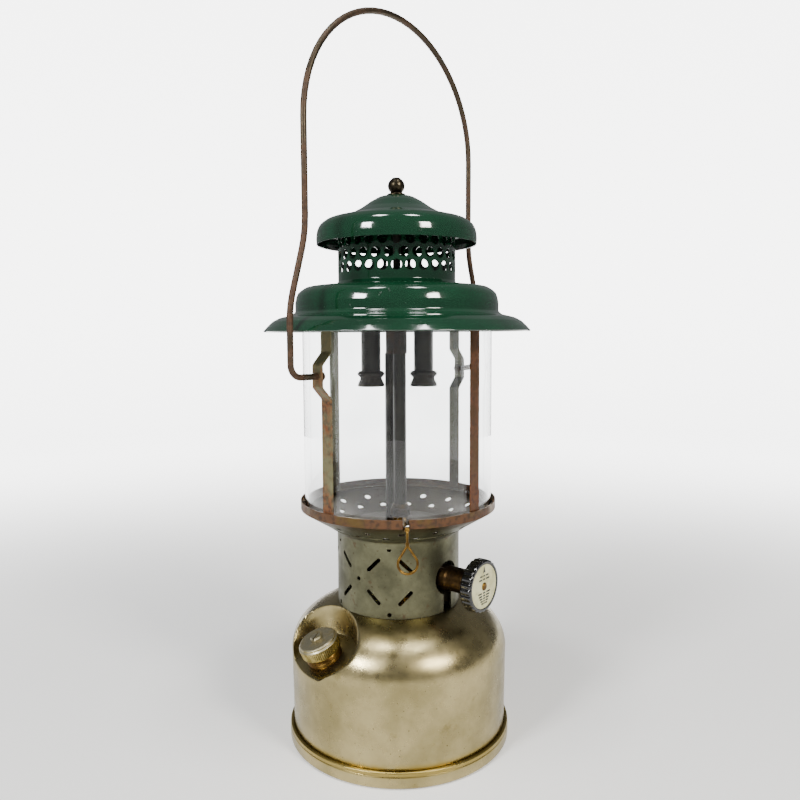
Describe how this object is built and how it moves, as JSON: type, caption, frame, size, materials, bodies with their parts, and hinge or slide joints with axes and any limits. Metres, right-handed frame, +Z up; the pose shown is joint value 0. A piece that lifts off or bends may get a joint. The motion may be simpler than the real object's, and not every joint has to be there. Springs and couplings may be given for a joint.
{
  "type": "camping lantern",
  "caption": "Liquid-fuel two-mantle pressure lantern: round metal tank, perforated collar, side valve, clear glass globe in a strip cage, green enamel ventilator and a wire bail.",
  "frame": {"origin": "centre of the base, on the surface the lantern stands on", "axes": "+Z up, -Y the front with the cleaning lever and the generator, +X to the right seen from the front"},
  "size_m": [0.1744, 0.1744, 0.4744],
  "materials": {
    "fount_nickel": "nickel plate worn warm",
    "collar_nickel": "dull nickel plate",
    "aged_brass": "tarnished",
    "browned_brass": "heat browned",
    "rubber_seal": "matte",
    "pump_leather": "oiled",
    "black_bakelite": "glossy",
    "cream_paint": "satin print",
    "blackened_iron": "heat blackened",
    "cast_burner": "sooty casting",
    "cast_manifold": "rusty casting",
    "aged_steel": "dull, tarnished",
    "rusty_steel": "rusted",
    "rusty_wire": "rust brown",
    "clear_glass": "clear",
    "steel_gauze": "dull",
    "green_enamel": "glossy enamel",
    "dark_bronze": "dark"
  },
  "bodies": {
    "lantern": {"fount_base_plate": "fount_nickel", "fount_shell": "fount_nickel", "valve_boss": "aged_brass", "filler_neck": "aged_brass", "pump_barrel": "aged_brass", "pump_cap": "fount_nickel", "check_valve": "aged_brass", "air_stem": "aged_brass", "collar": "collar_nickel", "fuel_tube": "aged_brass", "valve_body": "aged_brass", "packing_nut": "browned_brass", "generator_nut": "browned_brass", "generator_tube": "blackened_iron", "gas_tip": "aged_brass", "lever_gland": "aged_brass", "frame_dish": "aged_steel", "globe_rest": "aged_steel", "frame_rim": "rusty_steel", "bail_upright_front": "aged_steel", "bail_upright_back": "aged_steel", "plain_upright_front": "rusty_steel", "plain_upright_back": "aged_steel", "cage_top_ring": "aged_steel", "globe": "clear_glass", "air_tube": "blackened_iron", "burner_manifold": "cast_manifold", "burner_tube_left": "blackened_iron", "burner_tube_right": "blackened_iron", "burner_cap_left": "cast_burner", "burner_cap_right": "cast_burner", "burner_screen_left": "steel_gauze", "burner_screen_right": "steel_gauze", "ventilator_stud": "steel_gauze", "ventilator_baffle": "aged_steel", "ventilator_hood": "green_enamel", "ventilator_neck": "green_enamel", "ventilator_cap": "green_enamel"},
    "filler_insert": {"filler_cap_insert": "aged_brass", "filler_cap_gasket": "rubber_seal"},
    "filler_cap": {"filler_cap_shell": "aged_brass", "filler_cap_screw": "fount_nickel"},
    "pump_plunger": {"pump_rod": "aged_brass", "pump_leather": "pump_leather"},
    "pump_handle": {"pump_knob": "fount_nickel"},
    "valve": {"valve_stem": "aged_brass", "valve_knob": "black_bakelite", "direction_disc": "cream_paint", "knob_screw": "aged_brass"},
    "tip_cleaner": {"cleaning_lever": "aged_brass"},
    "needle": {"cleaning_needle": "aged_brass"},
    "finial": {"finial_nut": "dark_bronze"},
    "carry_bail": {"bail": "rusty_wire"}
  },
  "joints": [
    {"name": "bail_swing", "type": "hinge", "parent": "lantern", "child": "carry_bail", "pos_m": [0, 0, 0.2455], "axis": [-0.6691, -0.7431, 0], "range_deg": [-160, 160]},
    {"name": "valve_turn", "type": "hinge", "parent": "lantern", "child": "valve", "pos_m": [0, 0, 0.1135], "axis": [0.7771, -0.6293, 0], "range_deg": [0, 450]},
    {"name": "cap_lift", "type": "slide", "parent": "lantern", "child": "filler_insert", "axis": [-0.3277, -0.2128, 0.9205], "range_m": [0, 0.0061]},
    {"name": "cap_turn", "type": "hinge", "parent": "filler_insert", "child": "filler_cap", "pos_m": [-0.04764, -0.03094, 0.0633], "axis": [-0.3277, -0.2128, 0.9205], "range_deg": [0, 1440]},
    {"name": "pump_stroke", "type": "slide", "parent": "lantern", "child": "pump_plunger", "axis": [0.0158, 0.4537, 0.891], "range_m": [0, 0.058]},
    {"name": "pump_knob_turn", "type": "hinge", "parent": "pump_plunger", "child": "pump_handle", "pos_m": [0.00194, 0.05547, 0.0845], "axis": [0.0158, 0.4537, 0.891], "range_deg": [0, 360]},
    {"name": "lever_turn", "type": "hinge", "parent": "lantern", "child": "tip_cleaner", "pos_m": [0.0015, -0.013, 0.148], "axis": [0.0724, -0.9861, 0.1495], "range_deg": [0, 180]},
    {"name": "needle_lift", "type": "slide", "parent": "lantern", "child": "needle", "axis": [0, 0, 1], "range_m": [0, 0.0021]},
    {"name": "finial_turn", "type": "hinge", "parent": "lantern", "child": "finial", "pos_m": [0, 0, 0.3665], "axis": [0, 0, 1], "range_deg": [0, 720]}
  ],
  "couplings": [
    {"joint": "cap_lift", "follows": "cap_turn", "m_per_rad": 0.00023873},
    {"joint": "needle_lift", "follows": "lever_turn", "m_per_rad": 0.00063662}
  ]
}
